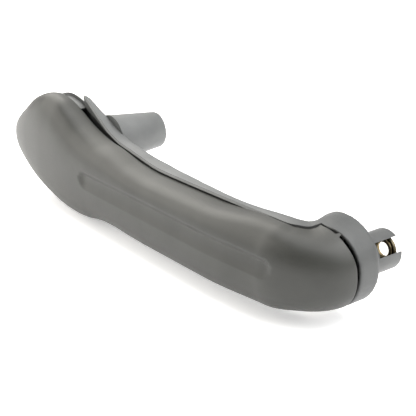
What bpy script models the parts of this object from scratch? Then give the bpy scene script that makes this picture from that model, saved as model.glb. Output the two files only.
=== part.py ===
"""Door pull handle: a hidden carrier moulding with a clip-on front cover.

The carrier carries a tapered screw post behind the broad foot and, at the
other end, a collar with a slotted sleeve that holds a flat threaded insert. The
cover is one smooth shell from the broad foot to the collar, with a long
shallow recess along its front.

Frame: +X runs along the grip from the foot to the collar, +Y points into the
door, +Z is up as mounted. The origin is where the axis of the sleeve meets the
plane of the collar's back face. Heights of the outlines are measured from the
lower side of the grip, and one empty carries everything down to the origin.
"""
import math

import bmesh
import bpy
from mathutils import Matrix, Vector

MM = 0.001

# sizes of the grip
HANDLE_REACH = 268.0 * MM    # from the axis of the sleeve to the tip of the foot
SEAM_Y = -26.0 * MM          # plane where the cover meets the carrier
BEND_RADIUS = 14.0 * MM      # bend of the seam line towards the door
COLLAR_SEAM_X = -5.0 * MM    # the seam line in the collar, beside the sleeve's axis
BEND_START_X = COLLAR_SEAM_X - BEND_RADIUS
GRIP_FRONT = 19.0 * MM       # front of the cover ahead of the seam
GRIP_BACK = 6.2 * MM         # back of the carrier behind the seam
GRIP_TOP = 40.4 * MM         # upper side of the grip
GRIP_BOTTOM = 0.5 * MM       # lower side of the grip
BEND_RISE = 0.8 * MM         # the grip grows a little before the bend
BEND_SLIM = 2.2 * MM         # its front comes in a little there
BEND_FILL = 3.2 * MM         # its back fills out there
BEND_LIFT = 1.2 * MM         # and its lower side comes up in the bend

# sizes of the foot
FOOT_TIP_X = -HANDLE_REACH   # far end of the foot
FOOT_TIP_Z = 28.0 * MM       # height of the tip
FOOT_BACK = 10.0 * MM        # back of the foot behind the seam
FOOT_BACK_END = 212.0 * MM   # the back comes in to the grip before here
FOOT_BACK_RUN = 62.0 * MM
FOOT_END_WALL = 20.0 * MM    # end wall of the carrier behind the tip

# outlines along the foot: distance from the tip and value, in millimetres
FOOT_TOP_LINE = [
    (0.5, 30.6), (2.0, 33.0), (5.0, 36.6), (12.0, 42.0), (24.0, 49.6), (40.0, 58.2),
    (55.0, 61.9), (65.0, 60.4), (79.0, 55.0), (90.0, 50.2), (102.0, 46.4),
    (112.0, 44.4), (122.0, 43.6), (131.0, 42.7), (142.0, 41.4),
]
FOOT_BOTTOM_LINE = [
    (0.5, 25.2), (2.0, 22.8), (5.0, 19.6), (11.0, 15.8), (24.0, 9.2), (39.0, 2.8),
    (48.0, 0.4), (58.0, -1.7), (67.0, -3.2), (78.0, -3.9), (89.0, -3.6), (99.0, -2.4),
    (108.0, -0.4), (120.0, 1.2), (130.0, 1.4), (144.0, 0.8),
]
FOOT_FRONT_LINE = [
    (0.5, 3.0), (2.0, 5.6), (5.0, 8.0), (10.0, 10.6), (18.0, 13.2), (34.0, 16.2),
    (56.0, 18.2), (78.0, 18.8),
]
FOOT_LEAN_LINE = [
    (0.0, 0.0), (24.0, 1.5), (40.0, 4.0), (56.0, 5.4), (68.0, 5.6), (78.0, 3.6),
    (90.0, 1.0), (108.0, 0.0),
]
FOOT_LENGTH = 158.0 * MM     # the foot has run out into the plain grip here
FOOT_FULL = 68.0 * MM        # the foot is at its broadest here
FRONT_RUN = 40.0 * MM        # the front comes in over this length before the bend
SQUARE_RUN = 20.0 * MM       # the outline is square this far before the foot's end
BACK_RUN = 24.0 * MM         # the back fills out over this length before the bend

# sizes of the mouldings
COVER_WALL = 2.2 * MM
CARRIER_WALL = 2.6 * MM
FIT_GAP = 0.45 * MM          # free space between cover and carrier
LIP_REACH = 9.0 * MM         # lip of the carrier that reaches under the cover
LIP_WALL = 1.9 * MM
END_LIP = 0.8 * MM           # lip beside the end wall of the foot
END_LIP_RUN = 30.0 * MM

# the upper wall of the carrier stands off the cover beside the foot: distance
# from the tip, rise and set-back of its front edge, and fall of its top to the
# back, in millimetres
FLANGE_LINE = [
    (70.5, -0.6, 5.5, 0.0), (72.5, 6.0, 4.0, 4.2), (80.0, 5.6, 3.1, 3.5),
    (90.0, 5.0, 2.2, 1.8), (103.0, 2.6, 1.5, 0.8), (118.0, 0.4, 1.7, 0.5),
    (130.0, 0.0, 1.3, 0.5), (148.0, 0.0, 0.225, 0.0),
]
FLANGE_START = 71.5 * MM
FLANGE_END = 113.0 * MM
FLANGE_FADE = 9.0 * MM
FLANGE_WALL = 2.2 * MM

# sizes of the long recess in the cover
RECESS_DEPTH = 1.5 * MM
RECESS_DEEP = 0.35           # its deepest line, as a share of the half above the middle
RECESS_HALF = 5.4 * MM
RECESS_FROM_TIP = 101.0 * MM
RECESS_BEFORE_BEND = -9.0 * MM
RECESS_LEFT_Z = 25.4 * MM
RECESS_RIGHT_Z = 24.2 * MM

# sizes of the collar
COLLAR_TOP = 43.5 * MM
COLLAR_BOTTOM = 1.1 * MM
COLLAR_OUTER = 22.5 * MM     # outer side ahead of the seam line
COLLAR_INNER = 16.0 * MM     # finger side behind the seam line
COLLAR_THROAT = 2.0 * MM     # finger side keeps this far from the bend centre
COLLAR_EDGE = 1.0 * MM       # bevel around the back face
COLLAR_END_WALL = 4.0 * MM
COLLAR_LIP_EDGE = 0.8 * MM   # bevel around the lip that faces the cover
COVER_END_ANGLE = 86.6       # the cover ends just before the collar
TAB_GAP_ANGLE = 1.4          # the small tab reaches nearly to the collar's lip
TAB_LOW = 0.65               # the tab's place up the front, as a share of the turn
TAB_HIGH = 0.71
POCKET_X = 2.0 * MM
POCKET_HALF_X = 10.0 * MM
POCKET_HALF_Z = 15.0 * MM
POCKET_DEPTH = 17.0 * MM     # reach of the pocket ahead of the back face

# ends of the cover and of the collar's lip in the bend: height from the middle,
# from -1 at the bottom to 1 on top, and angle in degrees
COVER_END_LINE = [
    (-1.0, 88.2), (-0.7, 87.9), (-0.41, 87.3), (0.0, 86.6), (0.25, 86.2), (0.475, 85.0),
    (0.645, 83.2), (0.815, 81.0), (0.92, 79.5), (1.0, 78.5),
]
LIP_LINE = [
    (-1.0, 90.0), (0.2, 90.0), (0.45, 89.0), (0.66, 87.4), (0.83, 85.2), (0.92, 83.6),
    (1.0, 82.5),
]
END_FOLLOW = 50.0            # the cover's stations follow its end from this angle on

# sizes of the slotted sleeve and its insert
SLEEVE_Z = 21.5 * MM
SLEEVE_RADIUS = 10.0 * MM
SLEEVE_BORE_RADIUS = 7.6 * MM
SLEEVE_LENGTH = 23.4 * MM
SLEEVE_EDGE = 0.5 * MM
SLEEVE_FLOOR = 3.0 * MM      # floor of the wide bore above the back face
SLOT_ROOT = 8.4 * MM         # where the slots end above the back face
SLOT_WIDTH = 7.4 * MM
SLOT_TILT = 33.0             # slot direction above the horizontal, degrees
SCREW_BORE_RADIUS = 4.0 * MM
INSERT_INSET = 0.6 * MM      # the insert lies this far inside the sleeve's end
INSERT_LENGTH = 2.0 * MM
INSERT_BORE_RADIUS = 3.7 * MM
INSERT_RING_RADIUS = 5.9 * MM
INSERT_RING_WIDTH = 0.8 * MM
INSERT_RING_HEIGHT = 0.5 * MM
INSERT_EDGE = 0.3 * MM
INSERT_GAP = 0.3 * MM

# sizes of the screw post
POST_FROM_TIP = 93.2 * MM
POST_Z = 41.4 * MM
POST_END_Y = 14.0 * MM
POST_END_RADIUS = 10.6 * MM
POST_BASE_RADIUS = 13.8 * MM
POST_ROOT = 2.0 * MM         # part of the post inside the back wall
POST_BORE_RADIUS = 3.6 * MM
POST_BORE_DEPTH = 25.0 * MM
POST_EDGE = 0.8 * MM

SHARP_ANGLE = 35.0           # edges bent more than this stay crisp, degrees

# shape of the outline: 2 is an ellipse, larger numbers are squarer
SQUARE_TIP = 2.4
SQUARE_FOOT = 3.0
SQUARE_GRIP = 3.6
SQUARE_BEND = 2.7
SQUARE_COLLAR = 2.1
BACK_SQUARE_FOOT = 2.6
BACK_SQUARE_FLANGE = 10.0
BACK_SQUARE_GRIP = 5.0
BACK_SQUARE_COLLAR = 2.3


def clear_scene():
    for old in list(bpy.data.objects):
        bpy.data.objects.remove(old, do_unlink=True)


def curve_through(pairs, value):
    """Smooth curve through the pairs that never swings past them."""
    if value <= pairs[0][0]:
        return pairs[0][1]
    if value >= pairs[-1][0]:
        return pairs[-1][1]
    slopes = []
    for i in range(len(pairs) - 1):
        step = pairs[i + 1][0] - pairs[i][0]
        slopes.append((pairs[i + 1][1] - pairs[i][1]) / step)
    ends = [slopes[0]]
    for i in range(1, len(slopes)):
        if slopes[i - 1] * slopes[i] <= 0.0:
            ends.append(0.0)
        else:
            ends.append(2.0 / (1.0 / slopes[i - 1] + 1.0 / slopes[i]))
    ends.append(slopes[-1])
    i = 0
    while value > pairs[i + 1][0]:
        i += 1
    h = pairs[i + 1][0] - pairs[i][0]
    t = (value - pairs[i][0]) / h
    a = (1.0 + 2.0 * t) * (1.0 - t) ** 2 * pairs[i][1]
    b = t * (1.0 - t) ** 2 * h * ends[i]
    c = t * t * (3.0 - 2.0 * t) * pairs[i + 1][1]
    d = t * t * (t - 1.0) * h * ends[i + 1]
    return a + b + c + d


def smooth_step(low, high, value):
    t = min(max((value - low) / (high - low), 0.0), 1.0)
    return t * t * (3.0 - 2.0 * t)


def along_foot(pairs):
    """Pairs counted from the tip in millimetres, as pairs along x in metres."""
    return [(FOOT_TIP_X + a * MM, b * MM) for a, b in pairs]


FOOT_END_X = FOOT_TIP_X + FOOT_LENGTH
TOP_LINE = [(FOOT_TIP_X, FOOT_TIP_Z)] + along_foot(FOOT_TOP_LINE)
TOP_LINE += [(FOOT_END_X, GRIP_TOP), (BEND_START_X, GRIP_TOP + BEND_RISE)]
BOTTOM_LINE = [(FOOT_TIP_X, FOOT_TIP_Z)] + along_foot(FOOT_BOTTOM_LINE)
BOTTOM_LINE += [(FOOT_END_X, GRIP_BOTTOM)]
FRONT_LINE = [(FOOT_TIP_X, 0.4 * MM)] + along_foot(FOOT_FRONT_LINE)
FRONT_LINE += [(FOOT_END_X - FRONT_RUN, GRIP_FRONT), (BEND_START_X - FRONT_RUN, GRIP_FRONT)]
FRONT_LINE += [(BEND_START_X, GRIP_FRONT - BEND_SLIM)]
LEAN_LINE = along_foot(FOOT_LEAN_LINE)
SQUARE_LINE = [(FOOT_TIP_X, SQUARE_TIP), (FOOT_TIP_X + FOOT_FULL, SQUARE_FOOT)]
SQUARE_LINE += [(FOOT_END_X - SQUARE_RUN, SQUARE_GRIP), (BEND_START_X - FRONT_RUN, SQUARE_GRIP)]
SQUARE_LINE += [(BEND_START_X, SQUARE_BEND)]
BACK_LINE = [(FOOT_TIP_X + FOOT_BACK_END - FOOT_BACK_RUN, FOOT_BACK)]
BACK_LINE += [(FOOT_TIP_X + FOOT_BACK_END, GRIP_BACK), (BEND_START_X - BACK_RUN, GRIP_BACK)]
BACK_LINE += [(BEND_START_X, GRIP_BACK + BEND_FILL)]
BACK_SQUARE_LINE = [(FOOT_TIP_X + FLANGE_START - 3.0 * MM, BACK_SQUARE_FOOT)]
BACK_SQUARE_LINE += [(FOOT_TIP_X + FLANGE_START + 1.0 * MM, BACK_SQUARE_FLANGE)]
BACK_SQUARE_LINE += [(FOOT_TIP_X + FOOT_BACK_END - FOOT_BACK_RUN, BACK_SQUARE_FLANGE)]
BACK_SQUARE_LINE += [(FOOT_TIP_X + FOOT_BACK_END, BACK_SQUARE_GRIP)]


def blend(start, end, part):
    return start + (end - start) * part


class Section:
    """Outline of the grip across the route at one station.

    The route is counted along x up to the bend, then in degrees around it,
    and then along y behind it.
    """

    def __init__(self, kind, at):
        self.kind = kind
        self.at = at
        narrow = BEND_RADIUS - COLLAR_THROAT
        if kind == "x":
            self.origin = Vector((at, SEAM_Y, 0.0))
            self.out = Vector((0.0, -1.0, 0.0))
            self.top = curve_through(TOP_LINE, at)
            self.bottom = curve_through(BOTTOM_LINE, at)
            self.front = curve_through(FRONT_LINE, at)
            self.lean = curve_through(LEAN_LINE, at)
            self.square = curve_through(SQUARE_LINE, at)
            self.back = curve_through(BACK_LINE, at)
            self.back_square = curve_through(BACK_SQUARE_LINE, at)
            return
        turn = math.radians(at if kind == "angle" else 90.0)
        part = smooth_step(0.0, 90.0, at) if kind == "angle" else 1.0
        late = smooth_step(35.0, 90.0, at) if kind == "angle" else 1.0
        centre = Vector((BEND_START_X, SEAM_Y + BEND_RADIUS, 0.0))
        self.out = Vector((math.sin(turn), -math.cos(turn), 0.0))
        self.origin = centre + self.out * BEND_RADIUS
        self.top = blend(GRIP_TOP + BEND_RISE, COLLAR_TOP, late)
        self.bottom = blend(GRIP_BOTTOM, COLLAR_BOTTOM, part)
        self.bottom += BEND_LIFT * smooth_step(0.0, 45.0, at) * (1.0 - late)
        swell = smooth_step(10.0, 90.0, at) if kind == "angle" else 1.0
        self.front = blend(GRIP_FRONT - BEND_SLIM, COLLAR_OUTER, swell)
        self.lean = 0.0
        self.square = blend(SQUARE_BEND, SQUARE_COLLAR, part)
        self.back_square = blend(BACK_SQUARE_GRIP, BACK_SQUARE_COLLAR, part)
        if kind == "angle":
            self.back = blend(GRIP_BACK + BEND_FILL, narrow, part)
        else:
            self.origin.y = at
            low = SEAM_Y + BEND_RADIUS
            self.back = blend(narrow, COLLAR_INNER, smooth_step(low, 0.2 * low, at))

    def middle(self):
        return 0.5 * (self.top + self.bottom)

    def half(self):
        return 0.5 * (self.top - self.bottom)

    def place(self, n, z):
        p = self.origin + self.out * n
        return Vector((p.x, p.y, z))

    def front_point(self, turn, edge=0.0):
        """Point of the cover, turn runs from -1 at the bottom to 1 on top."""
        s = math.sin(0.5 * math.pi * turn)
        c = max(1.0 - abs(s) ** self.square, 0.0) ** (1.0 / self.square)
        n = edge + (self.front - edge) * c
        z = self.middle() + self.half() * s
        if turn > 0.0:
            z += self.lean * c * s
        return n, z

    def back_point(self, turn, start=0.0, rise=0.0, fall=0.0):
        """Point of the carrier, turn runs from 1 on top to -1 at the bottom."""
        s = math.sin(0.5 * math.pi * turn)
        c = max(1.0 - abs(s) ** self.back_square, 0.0) ** (1.0 / self.back_square)
        n = start + (-self.back - start) * c
        z = self.middle() + self.half() * s
        if turn > 0.0:
            z += (rise - fall * (start - n) / (start + self.back)) * s
        return n, z


RECESS_LEFT_X = FOOT_TIP_X + RECESS_FROM_TIP
RECESS_RIGHT_X = BEND_START_X - RECESS_BEFORE_BEND


def recess_at(x, z):
    """Depth of the long recess: a soft fold above, and a ramp to a crisp edge below."""
    middle_x = 0.5 * (RECESS_LEFT_X + RECESS_RIGHT_X)
    share = (x - RECESS_LEFT_X) / (RECESS_RIGHT_X - RECESS_LEFT_X)
    level = RECESS_LEFT_Z + (RECESS_RIGHT_Z - RECESS_LEFT_Z) * share
    straight = 0.5 * (RECESS_RIGHT_X - RECESS_LEFT_X) - RECESS_HALF
    over = max(abs(x - middle_x) - straight, 0.0) / RECESS_HALF
    if over >= 1.0:
        return 0.0
    narrow = math.sqrt(1.0 - over * over)
    up = (z - level) / (RECESS_HALF * narrow)
    if abs(up) >= 1.0:
        return 0.0
    if up > RECESS_DEEP:
        return RECESS_DEPTH * narrow * (1.0 - smooth_step(RECESS_DEEP, 1.0, up))
    climb = (up + 1.0) / (1.0 + RECESS_DEEP)
    return RECESS_DEPTH * narrow * climb * (2.0 - climb)


def new_mesh_object(name, verts, faces, collection):
    mesh = bpy.data.meshes.new(name)
    mesh.from_pydata([tuple(v) for v in verts], [], faces)
    mesh.validate()
    obj = bpy.data.objects.new(name, mesh)
    collection.objects.link(obj)
    work = bmesh.new()
    work.from_mesh(mesh)
    bmesh.ops.recalc_face_normals(work, faces=work.faces)
    work.to_mesh(mesh)
    work.free()
    mesh.shade_smooth()
    mesh.set_sharp_from_angle(angle=math.radians(SHARP_ANGLE))
    return obj


def add_material(obj, name, colour, roughness, metallic=0.0):
    material = bpy.data.materials.new(name)
    material.use_nodes = True
    shader = material.node_tree.nodes["Principled BSDF"]
    shader.inputs["Base Color"].default_value = (colour[0], colour[1], colour[2], 1.0)
    shader.inputs["Roughness"].default_value = roughness
    shader.inputs["Metallic"].default_value = metallic
    obj.data.materials.clear()
    obj.data.materials.append(material)


def run_boolean(obj, other, operation):
    modifier = obj.modifiers.new(operation.lower() + "_" + other.name, "BOOLEAN")
    modifier.operation = operation
    modifier.solver = "EXACT"
    modifier.object = other


# Stations of the cover, counted from the tip and then from the bend. They are
# closer together at the tip, at the flare and at the ends of the recess.
COVER_FOOT = [0.5, 1.7, 3.7, 6.5, 10.0, 14.5, 19.5, 26.0, 34.0, 41.0, 48.0, 55.0, 62.0,
              68.0, 74.0, 80.0, 87.0, 94.0, 99.5, 102.5, 105.2, 108.0, 114.0, 122.0,
              132.0, 144.0, 158.0]
COVER_GRIP = [-96.0, -79.0, -62.0, -46.0, -33.0, -22.0, -13.0, -6.0, 0.0]
COVER_ANGLES = [8.0, 14.0, 19.0, 24.0, 31.0, 40.0, 50.0, 60.0, 70.0, 79.0, COVER_END_ANGLE]
COVER_TURNS = [-1.0, -0.985, -0.95, -0.9, -0.84, -0.77, -0.68, -0.57, -0.44, -0.3,
               -0.17, -0.085, -0.059, -0.037, -0.002, 0.046, 0.102, 0.157, 0.211,
               0.259, 0.298, 0.33, 0.4, 0.5, 0.58, TAB_LOW, TAB_HIGH, 0.77, 0.84, 0.9,
               0.95, 0.985, 1.0]


def cover_stations():
    places = [FOOT_TIP_X + d * MM for d in COVER_FOOT]
    places += [BEND_START_X + d * MM for d in COVER_GRIP]
    places = sorted(x for x in places if x <= BEND_START_X)
    return [Section("x", x) for x in places] + [Section("angle", a) for a in COVER_ANGLES]


def cover_angle(angle, turn):
    """Angle of one point of a station in the bend, drawn in to the cover's end."""
    if angle <= END_FOLLOW:
        return angle
    height = math.sin(0.5 * math.pi * turn)
    share = (angle - END_FOLLOW) / (COVER_END_ANGLE - END_FOLLOW)
    if angle == COVER_END_ANGLE and TAB_LOW <= turn <= TAB_HIGH:
        # the small tab that bridges the gap to the collar
        return curve_through(LIP_LINE, height) - TAB_GAP_ANGLE
    return blend(END_FOLLOW, curve_through(COVER_END_LINE, height), share)


def build_cover(collection):
    """The front shell: one smooth sheet of stations, then given its wall."""
    verts = [Vector((FOOT_TIP_X, SEAM_Y - 0.2 * MM, FOOT_TIP_Z))]
    faces = []
    stations = cover_stations()
    count = len(COVER_TURNS)
    for station in stations:
        for turn in COVER_TURNS:
            edge = 0.5 * FIT_GAP
            spot = station
            if station.kind == "angle":
                spot = Section("angle", cover_angle(station.at, turn))
            n, z = spot.front_point(turn, edge)
            point = spot.place(n, z)
            depth = recess_at(point.x, z)
            if depth > 0.0 and n > 0.5 * spot.front:
                n -= depth
                point = spot.place(n, z)
            verts.append(point)
    for j in range(count - 1):
        faces.append((0, 1 + j, 2 + j))
    for i in range(len(stations) - 1):
        for j in range(count - 1):
            a = 1 + i * count + j
            b = a + count
            faces.append((a, b, b + 1, a + 1))
    cover = new_mesh_object("front_cover", verts, faces, collection)
    face = cover.data.polygons[len(cover.data.polygons) // 2]
    shell = cover.modifiers.new("wall", "SOLIDIFY")
    shell.thickness = COVER_WALL
    shell.offset = -1.0 if face.normal.y < 0.0 else 1.0
    shell.use_even_offset = True
    shell.use_quality_normals = True
    shell.use_rim = True
    add_material(cover, "cover_plastic", (0.20, 0.20, 0.185), 0.5)
    return cover


CARRIER_FOOT = [4.0, 11.0, 19.0, 27.0, 35.0, 43.0, 50.5, 52.5, 58.0, 64.0, 70.0, 76.0,
                82.0, 88.0, 95.0, 102.0, 110.0, 120.0, 136.0]
CARRIER_GRIP = [-72.0, -50.0, -30.0, -13.0, 0.0]
CARRIER_ANGLES = [12.0, 24.0, 36.0, 48.0, 60.0, 71.0, 81.0, 90.0]
HOLLOW_ANGLES = [7.0, 19.0, 31.0, 43.0, 55.0, 66.0, 76.0, 84.0]
BACK_TURNS = [1.0, 0.985, 0.95, 0.9, 0.84, 0.77, 0.66, 0.5, 0.25, 0.0, -0.25, -0.5,
              -0.66, -0.77, -0.84, -0.9, -0.95, -0.985, -1.0]
FRONT_POINTS = 15
CARRIER_START_X = FOOT_TIP_X + FOOT_END_WALL
RISE_LINE = along_foot([(d, rise) for d, rise, back, fall in FLANGE_LINE])
STEP_BACK_LINE = along_foot([(d, -back) for d, rise, back, fall in FLANGE_LINE])
FALL_LINE = along_foot([(d, fall) for d, rise, back, fall in FLANGE_LINE])


def carrier_places():
    """Places along x of the carrier stations."""
    places = [CARRIER_START_X + d * MM for d in CARRIER_FOOT]
    places += [BEND_START_X + d * MM for d in CARRIER_GRIP]
    return sorted(x for x in places if x <= BEND_START_X)


class CarrierSection(Section):
    """Section with the rise, the lip and the walls of the carrier."""

    def __init__(self, kind, at):
        super().__init__(kind, at)
        self.rise = 0.0
        self.fall = 0.0
        self.start = -0.5 * FIT_GAP
        self.flange = 0.0
        self.reach = LIP_REACH
        self.slant = 1.0
        if kind == "x":
            self.rise = curve_through(RISE_LINE, at)
            self.start = curve_through(STEP_BACK_LINE, at)
            self.fall = curve_through(FALL_LINE, at)
            start = FOOT_TIP_X + FLANGE_START
            end = FOOT_TIP_X + FLANGE_END
            self.flange = smooth_step(start - 0.5 * MM, start + 0.5 * MM, at)
            self.flange *= 1.0 - smooth_step(end, end + FLANGE_FADE, at)
            ahead = Section("x", at + 2.0 * MM)
            slope = (ahead.half() - self.half()) / (2.0 * MM)
            self.slant = math.sqrt(1.0 + slope * slope)
            grow = smooth_step(CARRIER_START_X, CARRIER_START_X + END_LIP_RUN, at)
            self.reach = END_LIP + (LIP_REACH - END_LIP) * grow
        self.inset = (COVER_WALL + FIT_GAP) * self.slant
        share = (self.reach + FIT_GAP) / self.front
        height = (1.0 - share ** self.square) ** (1.0 / self.square)
        steep = self.half() / self.front * (share / height) ** (self.square - 1.0)
        self.drop = self.half() * (1.0 - height)
        self.drop += self.inset * (math.sqrt(1.0 + steep * steep) - 1.0)

    def outline(self):
        """Closed outline of the carrier before it is hollowed."""
        points = []
        for turn in BACK_TURNS:
            start = self.start if turn >= 0.0 else -0.5 * FIT_GAP
            points.append(self.back_point(turn, start, self.rise, self.fall))
        top_n = points[0][0]
        low_n = points[-1][0]
        low = self.bottom + self.inset
        top = self.top - self.inset
        reach_top = self.reach + (top_n + 0.2 * MM - self.reach) * self.flange
        points.append((low_n, low))
        points.append((self.reach, low + self.drop))
        for k in range(FRONT_POINTS):
            t = (k + 1) / (FRONT_POINTS + 1)
            z = low + self.drop + (top - low - 2.0 * self.drop) * t
            points.append((self.reach + (reach_top - self.reach) * t, z))
        points.append((reach_top, top - self.drop))
        points.append((top_n, top))
        return [self.place(n, z) for n, z in points]

    def hollow(self):
        """Closed outline of the space inside the carrier."""
        front = LIP_REACH + 4.0 * MM
        low = self.bottom + self.inset + self.drop + LIP_WALL
        covered = self.inset + self.drop + LIP_WALL
        open_wall = FLANGE_WALL * self.slant + self.fall - self.rise
        top = self.top - covered + (covered - open_wall) * self.flange
        middle = 0.5 * (top + low)
        half = 0.5 * (top - low)
        deep = self.back - CARRIER_WALL
        points = []
        for turn in BACK_TURNS:
            s = math.sin(0.5 * math.pi * turn)
            c = max(1.0 - abs(s) ** 4, 0.0) ** 0.25
            points.append((-deep * c, middle + half * s))
        points.append((front, low))
        points.append((front, top))
        return [self.place(n, z) for n, z in points]


def collar_loop(station, shrink=0.0):
    """Full outline of the collar with as many points as the carrier outline."""
    points = []
    for turn in BACK_TURNS:
        points.append(station.back_point(turn, -0.5 * FIT_GAP))
    total = FRONT_POINTS + 4
    for k in range(total):
        turn = -1.0 + 2.0 * (k + 0.5) / total
        points.append(station.front_point(turn))
    middle = station.middle()
    centre = 0.5 * (station.front - station.back)
    loop = []
    for n, z in points:
        size = math.hypot(n - centre, z - middle)
        share = (size - shrink) / size
        loop.append(station.place(centre + (n - centre) * share, middle + (z - middle) * share))
    return loop


def lip_loop(shrink, further):
    """Outline of the collar's lip, which follows the end of the cover."""
    base = Section("y", SEAM_Y + BEND_RADIUS + further)
    loop = []
    for turn in BACK_TURNS:
        loop.append(base.place(*base.back_point(turn, -0.5 * FIT_GAP)))
    total = FRONT_POINTS + 4
    for k in range(total):
        turn = -1.0 + 2.0 * (k + 0.5) / total
        angle = curve_through(LIP_LINE, math.sin(0.5 * math.pi * turn))
        station = Section("angle", angle)
        n, z = station.front_point(turn)
        middle = station.middle()
        size = math.hypot(n, z - middle)
        share = (size - shrink) / size
        point = station.place(n * share, middle + (z - middle) * share)
        ahead = Vector((math.cos(math.radians(angle)), math.sin(math.radians(angle)), 0.0))
        loop.append(point + ahead * further)
    return loop


def loft(name, loops, collection):
    """Closed body through outlines with equal numbers of points."""
    verts = []
    faces = []
    count = len(loops[0])
    for loop in loops:
        verts.extend(loop)
    for i in range(len(loops) - 1):
        for j in range(count):
            a = i * count + j
            b = i * count + (j + 1) % count
            faces.append((a, b, b + count, a + count))
    faces.append(tuple(range(count)))
    last = (len(loops) - 1) * count
    faces.append(tuple(range(last, last + count)))
    return new_mesh_object(name, verts, faces, collection)


def build_carrier(collection, cutters):
    """The carrier: a loft from the foot to the collar, hollowed from the front."""
    places = carrier_places()
    stations = [CarrierSection("x", CARRIER_START_X)]
    stations += [CarrierSection("x", x) for x in places]
    stations += [CarrierSection("angle", a) for a in CARRIER_ANGLES]
    loops = [station.outline() for station in stations]
    loops.append(lip_loop(COLLAR_LIP_EDGE, 0.0))
    loops.append(lip_loop(0.0, COLLAR_LIP_EDGE))
    low = SEAM_Y + BEND_RADIUS
    for share in (0.75, 0.5, 0.25):
        loops.append(collar_loop(Section("y", low * share)))
    loops.append(collar_loop(Section("y", -COLLAR_EDGE)))
    loops.append(collar_loop(Section("y", 0.0), COLLAR_EDGE))
    carrier = loft("carrier", loops, collection)
    add_material(carrier, "carrier_plastic", (0.33, 0.34, 0.32), 0.6)
    inside = [CarrierSection("x", CARRIER_START_X + CARRIER_WALL)]
    inside += [CarrierSection("x", x + 1.5 * MM) for x in places[:-1]]
    inside += [CarrierSection("angle", a) for a in HOLLOW_ANGLES]
    hollow = loft("tool_hollow", [s.hollow() for s in inside], cutters)
    run_boolean(carrier, hollow, "DIFFERENCE")
    run_boolean(carrier, build_pocket(cutters), "DIFFERENCE")
    run_boolean(carrier, build_post(cutters), "UNION")
    run_boolean(carrier, build_sleeve(cutters), "UNION")
    run_boolean(carrier, build_screw_bore(cutters), "DIFFERENCE")
    return carrier


def turned(name, profile, segments, place, collection):
    """Body turned about +Y from pairs of radius and y, outer side from far to near.

    An outline whose last pair repeats the first makes a ring.
    """
    closed = profile[0] == profile[-1]
    pairs = profile[:-1] if closed else profile
    verts = [(radius, 0.0, y) for radius, y in pairs]
    edges = [(k, k + 1) for k in range(len(pairs) - 1)]
    if closed:
        edges.append((len(pairs) - 1, 0))
    mesh = bpy.data.meshes.new(name)
    mesh.from_pydata(verts, edges, [])
    obj = bpy.data.objects.new(name, mesh)
    collection.objects.link(obj)
    obj.location = place
    obj.rotation_euler = (-0.5 * math.pi, 0.0, 0.0)
    screw = obj.modifiers.new("turn", "SCREW")
    screw.axis = "Z"
    screw.angle = 2.0 * math.pi
    screw.steps = segments
    screw.render_steps = segments
    screw.use_merge_vertices = True
    screw.merge_threshold = 0.00001
    screw.use_normal_calculate = closed
    return obj


def build_post(cutters):
    """The tapered screw post behind the foot, with its blind bore."""
    start = SEAM_Y + FOOT_BACK - POST_ROOT
    profile = [
        (0.0, POST_END_Y - POST_BORE_DEPTH),
        (POST_BORE_RADIUS, POST_END_Y - POST_BORE_DEPTH),
        (POST_BORE_RADIUS, POST_END_Y),
        (POST_END_RADIUS - POST_EDGE, POST_END_Y),
        (POST_END_RADIUS, POST_END_Y - POST_EDGE),
        (POST_BASE_RADIUS, start),
        (0.0, start),
    ]
    return turned("tool_post", profile, 40, (FOOT_TIP_X + POST_FROM_TIP, 0.0, POST_Z), cutters)


def build_sleeve(cutters):
    """The open sleeve that stands on the back face of the collar."""
    profile = [
        (0.0, SLEEVE_FLOOR),
        (SLEEVE_BORE_RADIUS, SLEEVE_FLOOR),
        (SLEEVE_BORE_RADIUS, SLEEVE_LENGTH),
        (SLEEVE_RADIUS - SLEEVE_EDGE, SLEEVE_LENGTH),
        (SLEEVE_RADIUS, SLEEVE_LENGTH - SLEEVE_EDGE),
        (SLEEVE_RADIUS, -0.5 * COLLAR_END_WALL),
        (0.0, -0.5 * COLLAR_END_WALL),
    ]
    sleeve = turned("tool_sleeve", profile, 40, (0.0, 0.0, SLEEVE_Z), cutters)
    run_boolean(sleeve, build_slot(cutters), "DIFFERENCE")
    return sleeve


def build_slot(cutters):
    """Bar that cuts the two slots of the sleeve in one go."""
    length = SLEEVE_LENGTH - SLOT_ROOT + 2.0 * MM
    bpy.ops.mesh.primitive_cube_add(size=1.0)
    slot = bpy.context.active_object
    slot.name = "tool_slot"
    slot.data.transform(Matrix.Diagonal((4.0 * SLEEVE_RADIUS, length, SLOT_WIDTH, 1.0)))
    slot.location = (0.0, SLOT_ROOT + 0.5 * length, SLEEVE_Z)
    slot.rotation_euler = (0.0, -math.radians(SLOT_TILT), 0.0)
    move_to(slot, cutters)
    return slot


def build_screw_bore(cutters):
    """Cutter of the screw bore through the back wall of the collar."""
    past = 2.0 * MM
    profile = [
        (0.0, SLEEVE_FLOOR + past),
        (SCREW_BORE_RADIUS, SLEEVE_FLOOR + past),
        (SCREW_BORE_RADIUS, -COLLAR_END_WALL - past),
        (0.0, -COLLAR_END_WALL - past),
    ]
    return turned("tool_screw_bore", profile, 24, (0.0, 0.0, SLEEVE_Z), cutters)


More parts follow.
